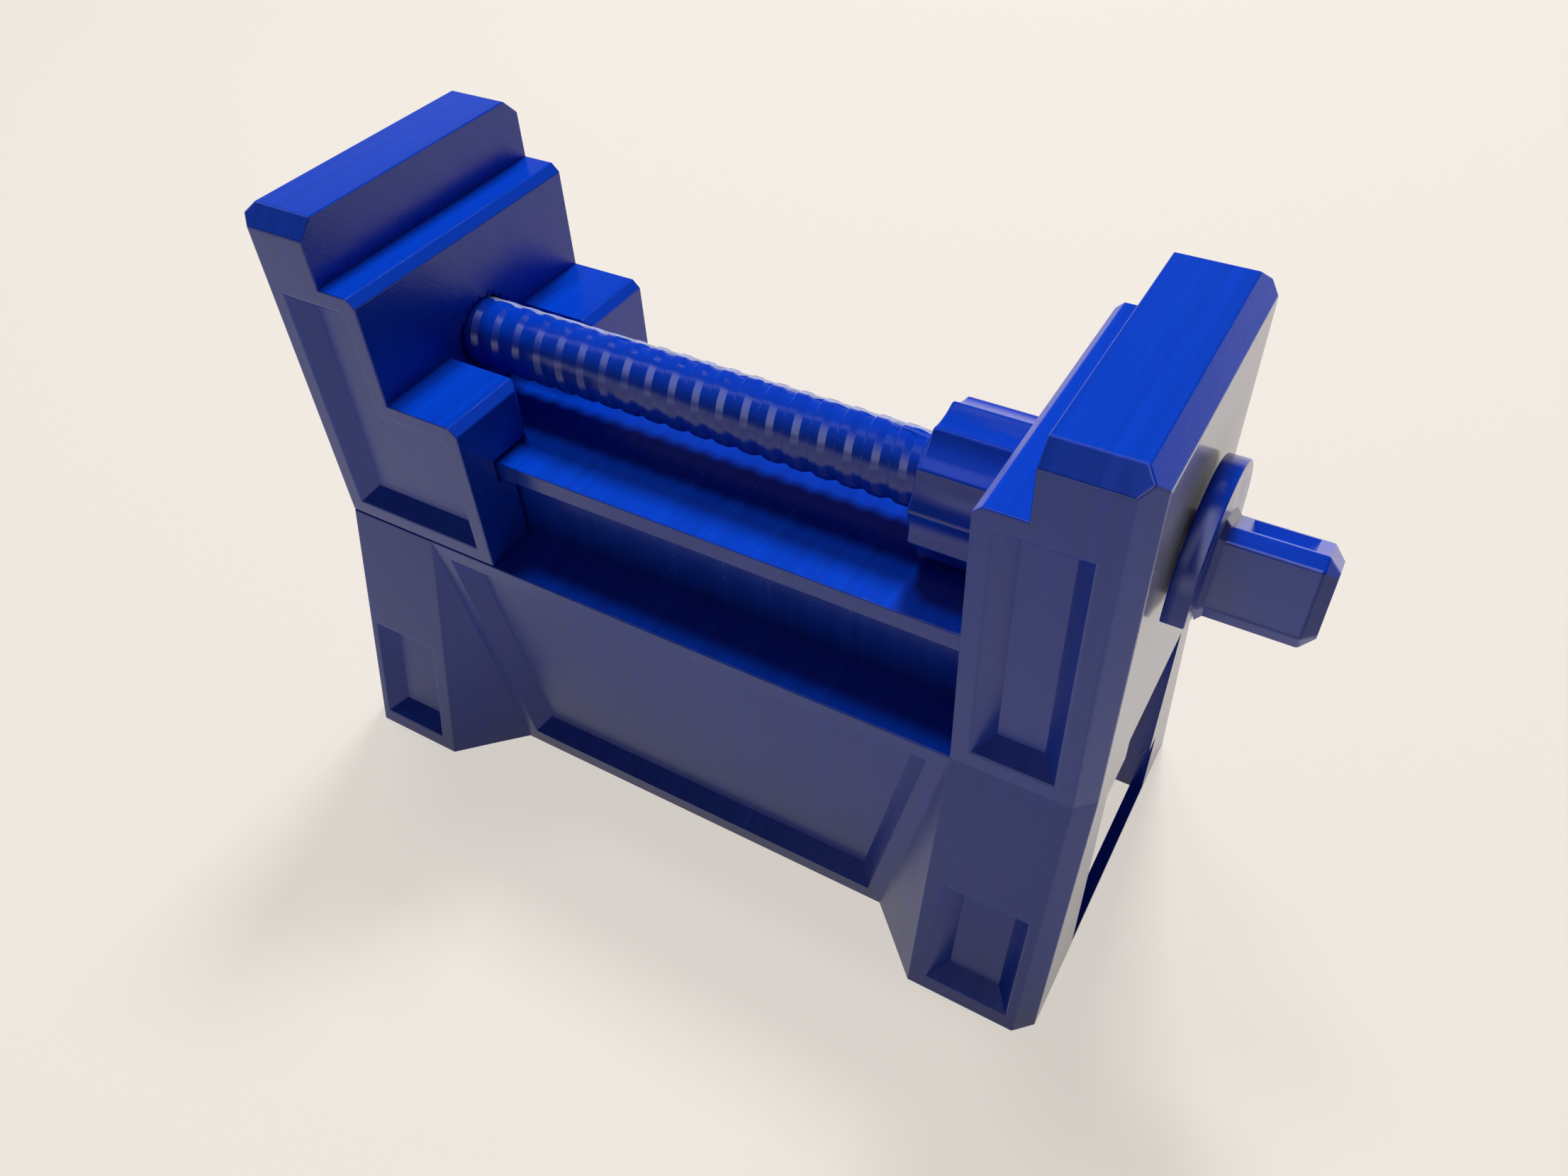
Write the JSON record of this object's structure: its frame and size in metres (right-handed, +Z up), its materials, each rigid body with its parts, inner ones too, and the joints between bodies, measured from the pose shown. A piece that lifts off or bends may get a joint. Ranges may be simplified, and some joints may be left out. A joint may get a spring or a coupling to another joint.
{
  "type": "ski vise",
  "caption": "Screw vise with stepped jaws on a flared base: a sliding jaw rides a T rail, drawn by a coarse printed lead screw.",
  "frame": {"origin": "on the surface that the vise stands on, under the middle of its length from the base's back end to the tip of the drive", "axes": "+X along the rail towards the fixed jaw and the drive end, +Y across to the far side, +Z up"},
  "size_m": [0.226, 0.1, 0.15],
  "materials": {
    "blue_print": "satin 3-D printed plastic with 0.2 mm layer lines",
    "blue_screw": "glossy 3-D printed plastic with layer lines along the thread"
  },
  "bodies": {
    "base": {"base_body": "blue_print"},
    "jaw": {"sliding_jaw": "blue_print"},
    "screw": {"lead_screw": "blue_screw", "lock_nut": "blue_screw"}
  },
  "joints": [
    {"name": "jaw_slide", "type": "slide", "parent": "base", "child": "jaw", "axis": [1, 0, 0], "range_m": [0, 0.098]},
    {"name": "screw_turn", "type": "hinge", "parent": "base", "child": "screw", "pos_m": [0, 0, 0.108], "axis": [-1, 0, 0], "range_deg": [0, 5691]}
  ],
  "couplings": [
    {"joint": "screw_turn", "follows": "jaw_slide", "rad_per_m": 1013.4}
  ]
}
